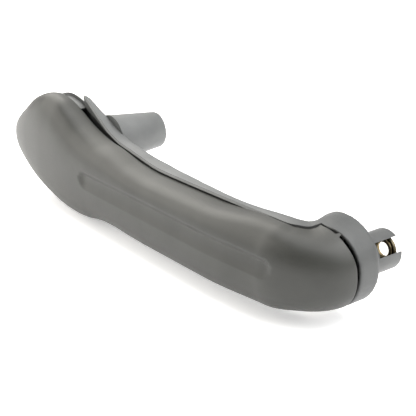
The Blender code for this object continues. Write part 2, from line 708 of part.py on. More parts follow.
def build_pocket(cutters):
    """Cutter of the space inside the collar, open to the front."""
    depth = POCKET_DEPTH - COLLAR_END_WALL
    bpy.ops.mesh.primitive_cylinder_add(vertices=40, radius=1.0, depth=1.0)
    pocket = bpy.context.active_object
    pocket.name = "tool_pocket"
    pocket.data.transform(Matrix.Rotation(0.5 * math.pi, 4, "X"))
    pocket.data.transform(Matrix.Diagonal((POCKET_HALF_X, depth, POCKET_HALF_Z, 1.0)))
    pocket.location = (POCKET_X, -COLLAR_END_WALL - 0.5 * depth, 0.5 * (COLLAR_TOP + COLLAR_BOTTOM))
    move_to(pocket, cutters)
    return pocket


def build_insert(collection):
    """The flat threaded insert near the end of the sleeve, with a raised ring."""
    outer = SLEEVE_BORE_RADIUS - INSERT_GAP
    bore = INSERT_BORE_RADIUS
    end = SLEEVE_LENGTH - INSERT_INSET
    start = end - INSERT_LENGTH
    far = INSERT_RING_RADIUS + 0.5 * INSERT_RING_WIDTH
    near = INSERT_RING_RADIUS - 0.5 * INSERT_RING_WIDTH
    profile = [
        (bore + INSERT_EDGE, end),
        (outer - INSERT_EDGE, end),
        (outer, end - INSERT_EDGE),
        (outer, start + INSERT_EDGE),
        (outer - INSERT_EDGE, start),
        (far, start),
        (far, start - INSERT_RING_HEIGHT),
        (near, start - INSERT_RING_HEIGHT),
        (near, start),
        (bore + INSERT_EDGE, start),
        (bore, start + INSERT_EDGE),
        (bore, end - INSERT_EDGE),
        (bore + INSERT_EDGE, end),
    ]
    insert = turned("threaded_insert", profile, 40, (0.0, 0.0, SLEEVE_Z), collection)
    add_material(insert, "insert_brass", (0.52, 0.42, 0.22), 0.35, 1.0)
    return insert


def move_to(obj, collection):
    for old in list(obj.users_collection):
        old.objects.unlink(obj)
    collection.objects.link(obj)


def main():
    clear_scene()
    scene = bpy.context.scene
    handle = bpy.data.collections.new("door_pull_handle")
    cutters = bpy.data.collections.new("cutters")
    scene.collection.children.link(handle)
    scene.collection.children.link(cutters)
    build_cover(handle)
    build_carrier(handle, cutters)
    build_insert(handle)
    level = bpy.data.objects.new("grip_level", None)
    level.location = (0.0, 0.0, -SLEEVE_Z)
    for piece in list(handle.objects) + list(cutters.objects):
        piece.parent = level
    handle.objects.link(level)
    for tool in cutters.objects:
        tool.hide_render = True
        tool.display_type = "WIRE"


main()
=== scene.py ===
"""Looks of the door pull handle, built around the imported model.

The front cover, the carrier and the insert are built again from the same
sizes with finer surfaces, rounded edges and worked materials. Lengths are in
millimetres until a point is placed, and then in metres. Heights are measured
from near the lower side of the grip, and place() takes them down to the origin
on the sleeve's axis. The camera, the floor and the lights are placed in metres.
"""
import math

import bmesh
import bpy
from mathutils import Matrix, Vector


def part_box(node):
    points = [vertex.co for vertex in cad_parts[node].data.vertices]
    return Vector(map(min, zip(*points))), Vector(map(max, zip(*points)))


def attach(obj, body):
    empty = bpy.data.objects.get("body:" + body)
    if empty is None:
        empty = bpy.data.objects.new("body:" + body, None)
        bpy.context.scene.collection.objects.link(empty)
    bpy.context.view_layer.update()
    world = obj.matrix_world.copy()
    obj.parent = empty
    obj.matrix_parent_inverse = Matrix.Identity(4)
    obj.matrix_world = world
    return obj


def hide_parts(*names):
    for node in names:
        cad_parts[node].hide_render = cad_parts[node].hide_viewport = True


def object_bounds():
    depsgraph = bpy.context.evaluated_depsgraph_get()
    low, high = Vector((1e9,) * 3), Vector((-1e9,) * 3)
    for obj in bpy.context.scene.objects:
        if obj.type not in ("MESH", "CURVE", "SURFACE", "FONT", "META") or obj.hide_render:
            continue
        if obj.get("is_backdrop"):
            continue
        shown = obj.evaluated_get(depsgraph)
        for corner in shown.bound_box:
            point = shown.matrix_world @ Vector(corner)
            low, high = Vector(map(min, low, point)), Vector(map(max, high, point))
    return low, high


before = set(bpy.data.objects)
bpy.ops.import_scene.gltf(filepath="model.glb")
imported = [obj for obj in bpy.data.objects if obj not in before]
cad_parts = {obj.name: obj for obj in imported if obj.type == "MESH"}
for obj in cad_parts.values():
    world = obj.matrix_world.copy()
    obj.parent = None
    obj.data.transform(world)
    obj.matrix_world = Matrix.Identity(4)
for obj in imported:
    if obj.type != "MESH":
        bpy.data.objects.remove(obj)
cad_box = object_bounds()

MM = 0.001

# sizes of the grip
HANDLE_REACH = 268.0         # from the axis of the sleeve to the tip of the foot
SEAM_Y = -26.0               # plane where the cover meets the carrier
BEND_RADIUS = 14.0           # bend of the seam line towards the door
COLLAR_SEAM_X = -5.0         # the seam line in the collar, beside the sleeve's axis
BEND_START_X = COLLAR_SEAM_X - BEND_RADIUS
GRIP_FRONT = 19.0            # front of the cover ahead of the seam
GRIP_BACK = 6.2              # back of the carrier behind the seam
GRIP_TOP = 40.4              # upper side of the grip
GRIP_BOTTOM = 0.5            # lower side of the grip
BEND_RISE = 0.8              # the grip grows a little before the bend
BEND_SLIM = 2.2              # its front comes in a little there
BEND_FILL = 3.2              # its back fills out there
BEND_LIFT = 1.2              # and its lower side comes up in the bend

# sizes of the foot
FOOT_TIP_X = -HANDLE_REACH
FOOT_TIP_Z = 28.0            # height of the tip
FOOT_TIP_FRONT = 0.4         # and its front ahead of the seam
FOOT_BACK = 10.0             # back of the foot behind the seam
FOOT_BACK_END = 212.0        # the back comes in to the grip before here
FOOT_BACK_RUN = 62.0
FOOT_END_WALL = 20.0         # end wall of the carrier behind the tip
FOOT_LENGTH = 158.0          # the foot has run out into the plain grip here
FOOT_FULL = 68.0             # the foot is at its broadest here
FRONT_RUN = 40.0             # the front comes in over this length before the bend
SQUARE_RUN = 20.0            # the outline is square this far before the foot's end
BACK_RUN = 24.0              # the back fills out over this length before the bend

# outlines along the foot: distance from the tip and value
FOOT_TOP_LINE = [
    (0.5, 30.6), (2.0, 33.0), (5.0, 36.6), (12.0, 42.0), (24.0, 49.6), (40.0, 58.2),
    (55.0, 61.9), (65.0, 60.4), (79.0, 55.0), (90.0, 50.2), (102.0, 46.4),
    (112.0, 44.4), (122.0, 43.6), (131.0, 42.7), (142.0, 41.4),
]
FOOT_BOTTOM_LINE = [
    (0.5, 25.2), (2.0, 22.8), (5.0, 19.6), (11.0, 15.8), (24.0, 9.2), (39.0, 2.8),
    (48.0, 0.4), (58.0, -1.7), (67.0, -3.2), (78.0, -3.9), (89.0, -3.6), (99.0, -2.4),
    (108.0, -0.4), (120.0, 1.2), (130.0, 1.4), (144.0, 0.8),
]
FOOT_FRONT_LINE = [
    (0.5, 3.0), (2.0, 5.6), (5.0, 8.0), (10.0, 10.6), (18.0, 13.2), (34.0, 16.2),
    (56.0, 18.2), (78.0, 18.8),
]
FOOT_LEAN_LINE = [
    (0.0, 0.0), (24.0, 1.5), (40.0, 4.0), (56.0, 5.4), (68.0, 5.6), (78.0, 3.6),
    (90.0, 1.0), (108.0, 0.0),
]

# squareness of the outlines, in front and at the back: 2 is an ellipse
SQUARE_TIP = 2.4
SQUARE_FOOT = 3.0
SQUARE_GRIP = 3.6
SQUARE_BEND = 2.7
SQUARE_COLLAR = 2.1
BACK_SQUARE_FOOT = 2.6
BACK_SQUARE_FLANGE = 10.0
BACK_SQUARE_GRIP = 5.0
BACK_SQUARE_COLLAR = 2.3

# angles in the bend between which a value changes
TOP_GROWS = (35.0, 90.0)
FRONT_GROWS = (10.0, 90.0)
BOTTOM_LIFTS = (0.0, 45.0)
GROOVE_OPENS = (45.0, 70.0)

# sizes of the mouldings
COVER_WALL = 2.2
CARRIER_WALL = 2.6
FIT_GAP = 0.45               # free space between cover and carrier
LIP_REACH = 9.0              # lip of the carrier that reaches under the cover
LIP_WALL = 1.9
END_LIP = 0.8                # lip beside the end wall of the foot
END_LIP_RUN = 30.0
TIP_WALL_HALF = 0.35         # the cover's wall at the tip, as a share of half the height
TIP_WALL_FRONT = 0.6         # and of the front
RIM_ROUND = 0.45
RIM_SHARE = 0.3              # the rim is no rounder than this share of the wall
ROUND_MIDDLE = 0.3           # middle point of a rounded edge, as a share of its radius
HOLLOW_SQUARE = 4.0          # squareness of the space inside the carrier
HOLLOW_PAST_LIP = 4.0

# the upper wall of the carrier stands off the cover beside the foot: distance
# from the tip, rise and set-back of its front edge, and fall of its top to the back
FLANGE_LINE = [
    (70.5, -0.6, 5.5, 0.0), (72.5, 6.0, 4.0, 4.2), (80.0, 5.6, 3.1, 3.5),
    (90.0, 5.0, 2.2, 1.8), (103.0, 2.6, 1.5, 0.8), (118.0, 0.4, 1.7, 0.5),
    (130.0, 0.0, 1.3, 0.5), (148.0, 0.0, 0.225, 0.0),
]
FLANGE_START = 71.5
FLANGE_END = 113.0
FLANGE_FADE = 9.0
FLANGE_WALL = 2.2
FLANGE_RAMP = 0.5            # it starts over twice this length
FLANGE_SQUARE = (-3.0, 1.0)  # the back turns square between these places at its start
FLANGE_FOOT = 0.2            # its foot stands this much ahead of its upper edge

# sizes of the long recess in the cover
RECESS_DEPTH = 1.5
RECESS_HALF = 5.4
RECESS_FROM_TIP = 101.0
RECESS_PAST_BEND = 9.0       # it ends this far past the start of the bend
RECESS_LEFT_X = FOOT_TIP_X + RECESS_FROM_TIP
RECESS_RIGHT_X = BEND_START_X + RECESS_PAST_BEND
RECESS_LEFT_Z = 25.4
RECESS_RIGHT_Z = 24.2
RECESS_DEEP = 0.35           # deepest line, as a share above the middle
RECESS_MARGIN = 0.5          # its rows stay within this share of half the height

# sizes of the collar
COLLAR_TOP = 43.5
COLLAR_BOTTOM = 1.1
COLLAR_OUTER = 22.5
COLLAR_INNER = 16.0
COLLAR_THROAT = 2.0
THROAT_END = 0.2             # the throat is full this share of the depth before the back
COLLAR_EDGE = 1.0
COLLAR_LIP_EDGE = 0.8
COLLAR_LIP_WALL = 1.5        # the lip's wall, beside the dark groove behind it
GROOVE_DEPTH = 5.5
GROOVE_INSET = 2.6           # the carrier comes in this much more beside the groove
COLLAR_END_WALL = 4.0
COVER_END_ANGLE = 86.6
TAB_GAP_ANGLE = 1.0
TAB_LOW = 0.855              # the tab's place up the front, as a height from -1 to 1
TAB_HIGH = 0.9
POCKET_X = 1.0
POCKET_HALF_X = 8.0
POCKET_HALF_Z = 14.0
POCKET_DEPTH = 17.0

# ends of the cover and of the collar's lip in the bend: height and angle
COVER_END_LINE = [
    (-1.0, 88.2), (-0.7, 87.9), (-0.41, 87.3), (0.0, 86.6), (0.25, 86.2), (0.475, 85.0),
    (0.645, 83.2), (0.815, 81.0), (0.92, 79.0), (0.975, 77.0), (1.0, 74.5),
]
LIP_LINE = [
    (-1.0, 90.0), (0.2, 90.0), (0.45, 89.0), (0.66, 87.4), (0.83, 85.4), (0.93, 82.8),
    (0.98, 80.0), (1.0, 76.5),
]
END_FOLLOW = 50.0            # the cover's stations follow its end from this angle on
LIP_ROWS = 13                # rows of the back that come forward with the lip's corner

# the seam: how much lower the cover's top lies than the outline, first along the
# grip by distance from the tip, and then in the bend by angle, where the strip
# above it comes down with it, all but a step
GRIP_DIP = 2.1
GRIP_DIP_IN = (112.0, 138.0)
GRIP_DIP_OUT = (205.0, 243.0)
CORNER_DIP = 1.2
DIP_IN = (32.0, 60.0)
DIP_OUT = (76.0, 90.0)
CORNER_STEP = 0.8
STEP_IN = (8.0, 30.0)
STEP_OUT = (66.0, 80.0)

# the strip rises to the back before the bend, by x, and comes down in it, by angle
STRIP_LIFT = 1.6
LIFT_IN = (-55.0, -22.0)
LIFT_OUT = (40.0, 85.0)

# the dark space under the strip's edge: where it opens and closes, by distance from
# the tip, its depth, and the thickness, the overhang and the forward slant of the edge
SEAM_OPEN = (97.0, 106.0)
SEAM_SHUT = (236.0, 248.0)
SEAM_DEPTH = 2.6
SEAM_EDGE = 1.1
SEAM_UNDER = 1.6
SEAM_FRONT = 0.8

# sizes of the slotted sleeve and its insert
SLEEVE_Z = 21.5              # height of its axis
SLEEVE_RADIUS = 10.0
SLEEVE_BORE_RADIUS = 7.6
SLEEVE_LENGTH = 23.4
SLEEVE_EDGE = 0.5
SLEEVE_MOUTH = 0.3           # chamfer at the mouth of the bore
SLEEVE_FLARE = 0.55          # flare where the sleeve meets the collar
SLEEVE_FLARE_RUN = 0.5
SLEEVE_SINK = 0.05           # the flare ends this far inside the collar
SLEEVE_FLOOR = 3.0
SLOT_ROOT = 8.4
SLOT_WIDTH = 7.4
SLOT_TILT = 33.0
SCREW_BORE_RADIUS = 4.0
INSERT_INSET = 0.6           # the insert lies this far inside the sleeve's end
INSERT_LENGTH = 2.0
INSERT_BORE_RADIUS = 3.4
INSERT_RING_RADIUS = 5.9
INSERT_RING_WIDTH = 0.8
INSERT_RING_HEIGHT = 0.5
INSERT_RING_SLOPE = 0.15
INSERT_EDGE = 0.3
INSERT_GAP = 0.3

# sizes of the screw post
POST_FROM_TIP = 93.2
POST_X = FOOT_TIP_X + POST_FROM_TIP
POST_Z = 41.4
POST_END_Y = 14.0
POST_END_RADIUS = 10.6
POST_BASE_RADIUS = 13.8
POST_ROOT = 2.0              # part of the post inside the back wall
POST_BORE_RADIUS = 3.6
POST_BORE_DEPTH = 25.0
POST_MOUTH = 0.4             # chamfer at the mouth of the bore
POST_EDGE = 0.8

CUT_PAST = 2.0               # cutters run this far past what they cut
HAIR = 0.01                  # keeps two points of an outline apart
TINY = 1e-9                  # guards a division
SHARP_ANGLE = 34.0
TURN_SEGMENTS = 96
FINE_STEPS = 400             # steps of the curve that even_heights measures


def curve_through(pairs, value):
    """Smooth curve through the pairs that never swings past them."""
    if value <= pairs[0][0]:
        return pairs[0][1]
    if value >= pairs[-1][0]:
        return pairs[-1][1]
    slopes = []
    for i in range(len(pairs) - 1):
        step = pairs[i + 1][0] - pairs[i][0]
        slopes.append((pairs[i + 1][1] - pairs[i][1]) / step)
    ends = [slopes[0]]
    for i in range(1, len(slopes)):
        if slopes[i - 1] * slopes[i] <= 0.0:
            ends.append(0.0)
        else:
            ends.append(2.0 / (1.0 / slopes[i - 1] + 1.0 / slopes[i]))
    ends.append(slopes[-1])
    i = 0
    while value > pairs[i + 1][0]:
        i += 1
    h = pairs[i + 1][0] - pairs[i][0]
    t = (value - pairs[i][0]) / h
    a = (1.0 + 2.0 * t) * (1.0 - t) ** 2 * pairs[i][1]
    b = t * (1.0 - t) ** 2 * h * ends[i]
    c = t * t * (3.0 - 2.0 * t) * pairs[i + 1][1]
    d = t * t * (t - 1.0) * h * ends[i + 1]
    return a + b + c + d


def smooth_step(low, high, value):
    t = min(max((value - low) / (high - low), 0.0), 1.0)
    return t * t * (3.0 - 2.0 * t)


def blend(start, end, part):
    return start + (end - start) * part


# outlines from the tip to the bend: distance from the tip and value
BEND_START = BEND_START_X - FOOT_TIP_X
TOP_LINE = [(0.0, FOOT_TIP_Z)] + FOOT_TOP_LINE
TOP_LINE += [(FOOT_LENGTH, GRIP_TOP), (BEND_START, GRIP_TOP + BEND_RISE)]
BOTTOM_LINE = [(0.0, FOOT_TIP_Z)] + FOOT_BOTTOM_LINE + [(FOOT_LENGTH, GRIP_BOTTOM)]
FRONT_LINE = [(0.0, FOOT_TIP_FRONT)] + FOOT_FRONT_LINE
FRONT_LINE += [(FOOT_LENGTH - FRONT_RUN, GRIP_FRONT), (BEND_START - FRONT_RUN, GRIP_FRONT)]
FRONT_LINE += [(BEND_START, GRIP_FRONT - BEND_SLIM)]
SQUARE_LINE = [(0.0, SQUARE_TIP), (FOOT_FULL, SQUARE_FOOT)]
SQUARE_LINE += [(FOOT_LENGTH - SQUARE_RUN, SQUARE_GRIP), (BEND_START - FRONT_RUN, SQUARE_GRIP)]
SQUARE_LINE += [(BEND_START, SQUARE_BEND)]
BACK_LINE = [(FOOT_BACK_END - FOOT_BACK_RUN, FOOT_BACK), (FOOT_BACK_END, GRIP_BACK)]
BACK_LINE += [(BEND_START - BACK_RUN, GRIP_BACK), (BEND_START, GRIP_BACK + BEND_FILL)]
BACK_SQUARE_LINE = [(FLANGE_START + FLANGE_SQUARE[0], BACK_SQUARE_FOOT)]
BACK_SQUARE_LINE += [(FLANGE_START + FLANGE_SQUARE[1], BACK_SQUARE_FLANGE)]
BACK_SQUARE_LINE += [(FOOT_BACK_END - FOOT_BACK_RUN, BACK_SQUARE_FLANGE)]
BACK_SQUARE_LINE += [(FOOT_BACK_END, BACK_SQUARE_GRIP)]
RISE_LINE = [(d, rise) for d, rise, back, fall in FLANGE_LINE]
STEP_BACK_LINE = [(d, -back) for d, rise, back, fall in FLANGE_LINE]
FALL_LINE = [(d, fall) for d, rise, back, fall in FLANGE_LINE]


def in_and_out(opens, shuts, value):
    """Rises from 0 to 1 over the first range and falls back over the second."""
    return smooth_step(*opens, value) * (1.0 - smooth_step(*shuts, value))


def ahead_at(angle):
    """Direction of the route at an angle of the bend."""
    turn = math.radians(angle)
    return Vector((math.cos(turn), math.sin(turn), 0.0))


class Section:
    """Outline of the grip across the route at one station, in millimetres.

    The kind says what the station is counted by: x along the grip, the angle in
    the bend, or y in the collar.
    """

    def __init__(self, kind, at):
        self.kind = kind
        self.at = at
        self.dip = 0.0
        self.step = 0.0
        narrow = BEND_RADIUS - COLLAR_THROAT
        if kind == "x":
            d = at - FOOT_TIP_X
            self.origin = Vector((at, SEAM_Y, 0.0))
            self.out = Vector((0.0, -1.0, 0.0))
            self.top = curve_through(TOP_LINE, d)
            self.bottom = curve_through(BOTTOM_LINE, d)
            self.front = curve_through(FRONT_LINE, d)
            self.lean = curve_through(FOOT_LEAN_LINE, d)
            self.square = curve_through(SQUARE_LINE, d)
            self.back = curve_through(BACK_LINE, d)
            self.back_square = curve_through(BACK_SQUARE_LINE, d)
            self.dip = GRIP_DIP * in_and_out(GRIP_DIP_IN, GRIP_DIP_OUT, d)
            return
        turn = math.radians(at if kind == "angle" else 90.0)
        part = smooth_step(0.0, 90.0, at) if kind == "angle" else 1.0
        late = smooth_step(*TOP_GROWS, at) if kind == "angle" else 1.0
        centre = Vector((BEND_START_X, SEAM_Y + BEND_RADIUS, 0.0))
        self.out = Vector((math.sin(turn), -math.cos(turn), 0.0))
        self.origin = centre + self.out * BEND_RADIUS
        self.top = blend(GRIP_TOP + BEND_RISE, COLLAR_TOP, late)
        if kind == "angle":
            self.step = CORNER_STEP * in_and_out(STEP_IN, STEP_OUT, at)
            self.dip = CORNER_DIP * in_and_out(DIP_IN, DIP_OUT, at) + self.step
        self.bottom = blend(GRIP_BOTTOM, COLLAR_BOTTOM, part)
        self.bottom += BEND_LIFT * smooth_step(*BOTTOM_LIFTS, at) * (1.0 - late)
        swell = smooth_step(*FRONT_GROWS, at) if kind == "angle" else 1.0
        self.front = blend(GRIP_FRONT - BEND_SLIM, COLLAR_OUTER, swell)
        self.lean = 0.0
        self.square = blend(SQUARE_BEND, SQUARE_COLLAR, part)
        self.back_square = blend(BACK_SQUARE_GRIP, BACK_SQUARE_COLLAR, part)
        if kind == "angle":
            self.back = blend(GRIP_BACK + BEND_FILL, narrow, part)
        else:
            self.origin.y = at
            low = SEAM_Y + BEND_RADIUS
            self.back = blend(narrow, COLLAR_INNER, smooth_step(low, THROAT_END * low, at))

    def middle(self):
        return 0.5 * (self.top + self.bottom)

    def half(self):
        return 0.5 * (self.top - self.bottom)

    def place(self, n, z):
        p = self.origin + self.out * n
        return Vector((p.x * MM, p.y * MM, (z - SLEEVE_Z) * MM))

    def front_point(self, s, edge=0.0):
        """Point of the cover, s is the height from -1 at the bottom to 1 on top."""
        c = max(1.0 - abs(s) ** self.square, 0.0) ** (1.0 / self.square)
        n = edge + (self.front - edge) * c
        z = self.middle() + self.half() * s
        if s > 0.0:
            z += self.lean * c * s - self.dip * s ** 4
        return n, z

    def back_point(self, s, start=0.0, rise=0.0, fall=0.0):
        """Point of the carrier, s is the height from 1 on top to -1 at the bottom."""
        c = max(1.0 - abs(s) ** self.back_square, 0.0) ** (1.0 / self.back_square)
        n = start + (-self.back - start) * c
        z = self.middle() + self.half() * s
        if s > 0.0:
            z += (rise - fall * (start - n) / (start + self.back)) * s
        return n, z


def even_heights(point_at, count, low=-1.0, high=1.0):
    """Heights of points at equal steps along a curve given as a function of height."""
    heights = []
    trace = []
    for k in range(FINE_STEPS + 1):
        angle = math.pi * (k / FINE_STEPS - 0.5)
        heights.append(low + (high - low) * (0.5 + 0.5 * math.sin(angle)))
        trace.append(point_at(heights[-1]))
    run = [0.0]
    for a, b in zip(trace, trace[1:]):
        run.append(run[-1] + math.hypot(b[0] - a[0], b[1] - a[1]))
    found = []
    k = 0
    for step in range(count + 1):
        goal = run[-1] * step / count
        while k < FINE_STEPS - 1 and run[k + 1] < goal:
            k += 1
        part = (goal - run[k]) / max(run[k + 1] - run[k], TINY)
        part = min(max(part, 0.0), 1.0)
        found.append(blend(heights[k], heights[k + 1], part))
    return found


def recess_level(x):
    share = (x - RECESS_LEFT_X) / (RECESS_RIGHT_X - RECESS_LEFT_X)
    return blend(RECESS_LEFT_Z, RECESS_RIGHT_Z, share)


def recess_at(x, z):
    """Depth of the long recess: a soft fold above, and a ramp to a crisp edge below."""
    middle_x = 0.5 * (RECESS_LEFT_X + RECESS_RIGHT_X)
    straight = 0.5 * (RECESS_RIGHT_X - RECESS_LEFT_X) - RECESS_HALF
    over = max(abs(x - middle_x) - straight, 0.0) / RECESS_HALF
    if over >= 1.0:
        return 0.0
    narrow = math.sqrt(1.0 - over * over)
    v = (z - recess_level(x)) / (RECESS_HALF * narrow)
    if abs(v) >= 1.0:
        return 0.0
    if v > RECESS_DEEP:
        return RECESS_DEPTH * narrow * (1.0 - smooth_step(RECESS_DEEP, 1.0, v))
    t = (v + 1.0) / (1.0 + RECESS_DEEP)
    return RECESS_DEPTH * narrow * t * (2.0 - t)


def new_mesh(name, verts, faces):
    mesh = bpy.data.meshes.new(name)
    mesh.from_pydata([tuple(v) for v in verts], [], faces)
    mesh.validate()
    work = bmesh.new()
    work.from_mesh(mesh)
    bmesh.ops.recalc_face_normals(work, faces=work.faces)
    work.to_mesh(mesh)
    work.free()
    obj = bpy.data.objects.new(name, mesh)
    bpy.context.scene.collection.objects.link(obj)
    return obj


def shade(obj, angle=SHARP_ANGLE):
    obj.data.shade_smooth()
    obj.data.set_sharp_from_angle(angle=math.radians(angle))


def hold_in(obj, node):
    """Keeps the finer surface inside the box of the solid it stands for."""
    low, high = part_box(node)
    for vert in obj.data.vertices:
        for axis in range(3):
            vert.co[axis] = min(max(vert.co[axis], low[axis]), high[axis])


def settle(obj):
    """Applies the modifiers of an object."""
    shown = obj.evaluated_get(bpy.context.evaluated_depsgraph_get())
    mesh = bpy.data.meshes.new_from_object(shown)
    obj.modifiers.clear()
    obj.data = mesh


def run_boolean(obj, other, operation):
    modifier = obj.modifiers.new(operation.lower(), "BOOLEAN")
    modifier.operation = operation
    modifier.solver = "EXACT"
    modifier.object = other
    bpy.context.view_layer.update()
    settle(obj)
    bpy.data.objects.remove(other, do_unlink=True)


# rows and stations of the cover
LOWER_ROWS = 44
RECESS_ROWS = 26
UPPER_ROWS = 44
INNER_STEP = 3               # the inner side has a point for every third row
TIP_STATIONS = (0.15, 0.5, 1.0, 1.7, 2.5, 3.4, 4.5, 5.7)
EVEN_FROM_TIP = 7.0          # the stations are even from here on
COVER_STEP = 1.6
ANGLE_STEP = 2.9
EVEN_TO_END = 1.2            # angle between the last even station and the end
# the stations of the end: angle that is left, and how far the wall is drawn in
END_STATIONS = [(0.4, 0.0), (0.1, 0.12), (0.0, 0.4)]


def cover_rows(section, edge):
    """Heights up the front of one section, with rows along both sides of the recess."""
    half = section.half()
    level = recess_level(section.at) if section.kind == "x" else RECESS_RIGHT_Z
    low = max((level - RECESS_HALF - section.middle()) / half, -RECESS_MARGIN)
    high = min((level + RECESS_HALF - section.middle()) / half, RECESS_MARGIN)

    def point_at(height):
        return section.front_point(height, edge)

    rows = even_heights(point_at, LOWER_ROWS, -1.0, low)
    rows += even_heights(point_at, RECESS_ROWS, low, high)[1:]
    rows += even_heights(point_at, UPPER_ROWS, high, 1.0)[1:]
    return rows


def cover_angle(angle, height, tab):
    """Angle of one point of a station in the bend, drawn in to the cover's end."""
    if angle <= END_FOLLOW:
        return angle
    if tab and TAB_LOW <= height <= TAB_HIGH:
        return curve_through(LIP_LINE, height) - TAB_GAP_ANGLE
    share = (angle - END_FOLLOW) / (COVER_END_ANGLE - END_FOLLOW)
    return blend(END_FOLLOW, curve_through(COVER_END_LINE, height), share)


def shell_loop(section, inward=0.0, tab=False):
    """Closed outline of the cover's wall: outer side, rounded rims and inner side."""
    edge = 0.5 * FIT_GAP
    wall = min(COVER_WALL, TIP_WALL_HALF * section.half(), TIP_WALL_FRONT * section.front)
    lip = min(RIM_ROUND, RIM_SHARE * wall)
    mid = ROUND_MIDDLE * lip
    spots = []
    points = []
    inner = []
    for height in cover_rows(section, edge):
        spot = section
        if section.kind == "angle":
            spot = Section("angle", cover_angle(section.at, height, tab))
        spots.append(spot)
        points.append(spot.front_point(height, edge))
    for k, (n, z) in enumerate(points):
        a = points[max(k - 1, 0)]
        b = points[min(k + 1, len(points) - 1)]
        along = Vector((b[0] - a[0], b[1] - a[1])).normalized()
        inner.append((n - along.y * wall, z + along.x * wall))
        if inward > 0.0:
            points[k] = (n - along.y * inward, z + along.x * inward)
    low_z = points[0][1]
    top_z = points[-1][1]
    for k, (n, z) in enumerate(points):
        point = spots[k].place(n, z)
        depth = recess_at(point.x / MM, z)
        if depth > 0.0 and n > 0.5 * section.front:
            points[k] = (n - depth, z)
    # rounded rims at both edges
    points[0] = (edge + lip, low_z)
    points[-1] = (edge + lip, top_z)
    loop = [spot.place(n, z) for spot, (n, z) in zip(spots, points)]
    top = spots[-1]
    loop.append(top.place(edge + mid, top_z - mid))
    loop.append(top.place(edge, top_z - lip))
    loop.append(top.place(edge, top_z - wall + mid))
    for spot, (n, z) in list(zip(spots, inner))[::-INNER_STEP]:
        loop.append(spot.place(max(n, edge + mid), z))
    low = spots[0]
    loop.append(low.place(edge, low_z + wall - mid))
    loop.append(low.place(edge, low_z + lip))
    loop.append(low.place(edge + mid, low_z + mid))
    return loop


def cover_sections():
    """Stations of the cover from the tip to just before its end."""
    sections = [Section("x", FOOT_TIP_X + d) for d in TIP_STATIONS]
    start = FOOT_TIP_X + EVEN_FROM_TIP
    steps = int((BEND_START_X - start) / COVER_STEP)
    for k in range(steps + 1):
        sections.append(Section("x", start + (BEND_START_X - start) * k / steps))
    last = COVER_END_ANGLE - EVEN_TO_END
    steps = int(last / ANGLE_STEP)
    for k in range(1, steps + 1):
        sections.append(Section("angle", last * k / steps))
    return sections


def build_cover():
    """The front shell, with rounded rims, the recess and the small tab."""
    loops = [shell_loop(section) for section in cover_sections()]
    for left, inward in END_STATIONS:
        loops.append(shell_loop(Section("angle", COVER_END_ANGLE - left), inward, True))
    ring = len(loops[0])
    tip_y = SEAM_Y - 0.5 * FOOT_TIP_FRONT
    verts = [(FOOT_TIP_X * MM, tip_y * MM, (FOOT_TIP_Z - SLEEVE_Z) * MM)]
    faces = []
    for loop in loops:
        verts.extend(loop)
    for j in range(ring):
        faces.append((0, 1 + j, 1 + (j + 1) % ring))
    for i in range(len(loops) - 1):
        for j in range(ring):
            a = 1 + i * ring + j
            b = 1 + i * ring + (j + 1) % ring
            faces.append((a, b, b + ring, a + ring))
    faces.append(tuple(range(len(verts) - ring, len(verts))))
    return new_mesh("cover_shell", verts, faces)


# rows and stations of the carrier
BACK_ROWS = 40
FRONT_ROWS = 10
COLLAR_FRONT = FRONT_ROWS + 7    # gives the collar as many points as the carrier
CARRIER_START_X = FOOT_TIP_X + FOOT_END_WALL
WALL_STATIONS = (0.0, 1.0, 2.5)  # past the end wall's outer side
EVEN_FROM_WALL = 4.0             # the stations are even from here on
CARRIER_STEP = 2.4
CARRIER_ANGLE_STEP = 3.6
FLANGE_STATIONS = (-0.5, -0.1, 0.3)    # added about the flange's start
SLOPE_STEP = 2.0                 # the slope of the outline is measured over this
HOLLOW_SHIFT = 1.5               # the stations inside lie this far past the outer ones
HOLLOW_ANGLE_STEP = 6
COLLAR_STEPS = 8
LIP_CREEP = 0.02                 # the lip's back moves on this much from loop to loop
# the collar's lip, from its groove over its rounded edge: how far its front is drawn
# in, how far front and back move along the route, and how deep it lies
LIP_LOOPS = [
    (COLLAR_LIP_WALL, 0.0, 2.0 * LIP_CREEP, GROOVE_DEPTH),
    (COLLAR_LIP_WALL, 0.1, 3.0 * LIP_CREEP, 0.0),
    (COLLAR_LIP_EDGE, 0.0, 4.0 * LIP_CREEP, 0.0),
    (0.55 * COLLAR_LIP_EDGE, 0.12 * COLLAR_LIP_EDGE, 5.0 * LIP_CREEP, 0.0),
    (0.2 * COLLAR_LIP_EDGE, 0.4 * COLLAR_LIP_EDGE, 0.4 * COLLAR_LIP_EDGE, 0.0),
    (0.0, COLLAR_LIP_EDGE, COLLAR_LIP_EDGE, 0.0),
]


